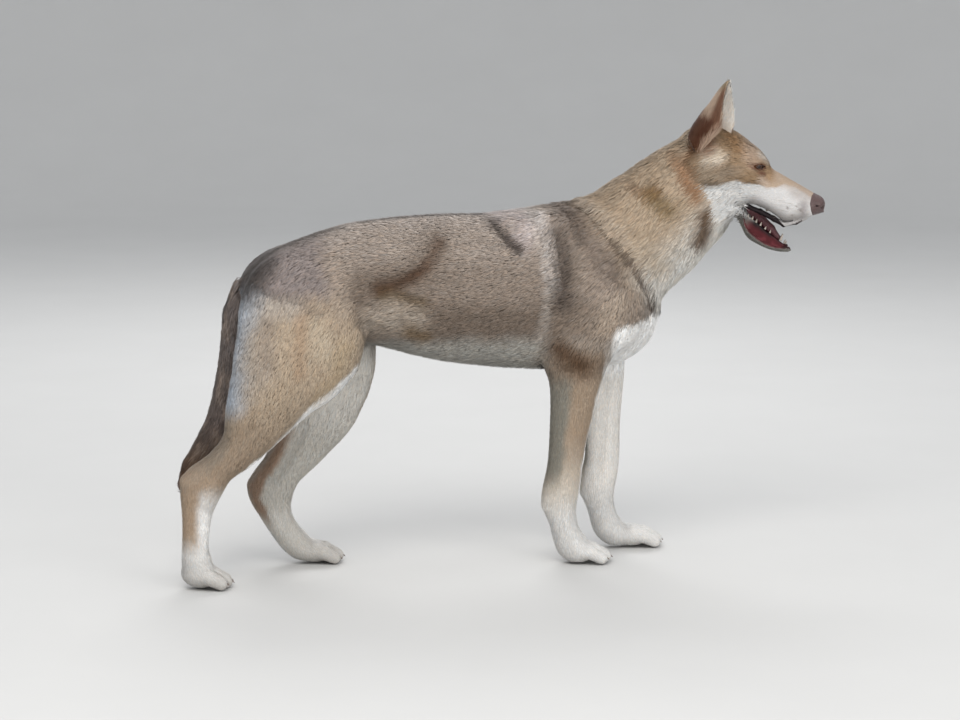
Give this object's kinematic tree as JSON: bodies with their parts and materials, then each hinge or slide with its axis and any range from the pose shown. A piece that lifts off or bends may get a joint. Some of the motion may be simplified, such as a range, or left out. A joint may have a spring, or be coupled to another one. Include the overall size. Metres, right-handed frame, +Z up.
{
  "type": "dog",
  "caption": "Lean wolfdog standing at ease with its mouth open, grizzled brown back, cream legs and chest, upright ears and a hanging bushy tail.",
  "frame": {"origin": "on the ground, under the middle of the bounding box", "axes": "+X from the tail towards the head, +Y towards the dog's left, +Z up"},
  "size_m": [1.2046, 0.2278, 0.8812],
  "materials": {
    "coat": "matte",
    "nose": "satin",
    "eye": "gloss",
    "mouth": "wet",
    "teeth": "gloss",
    "claw": "satin",
    "whisker": "satin"
  },
  "bodies": {
    "root": {"torso": "coat", "neck": "coat", "foreleg_right": "coat", "hindleg_right": "coat", "foreleg_left": "coat", "hindleg_left": "coat", "tail": "coat", "head": "coat", "lower_jaw": "coat", "nose": "nose", "ear_right": "coat", "eye_right": "eye", "ear_left": "coat", "eye_left": "eye", "tongue": "mouth"}
  },
  "joints": []
}
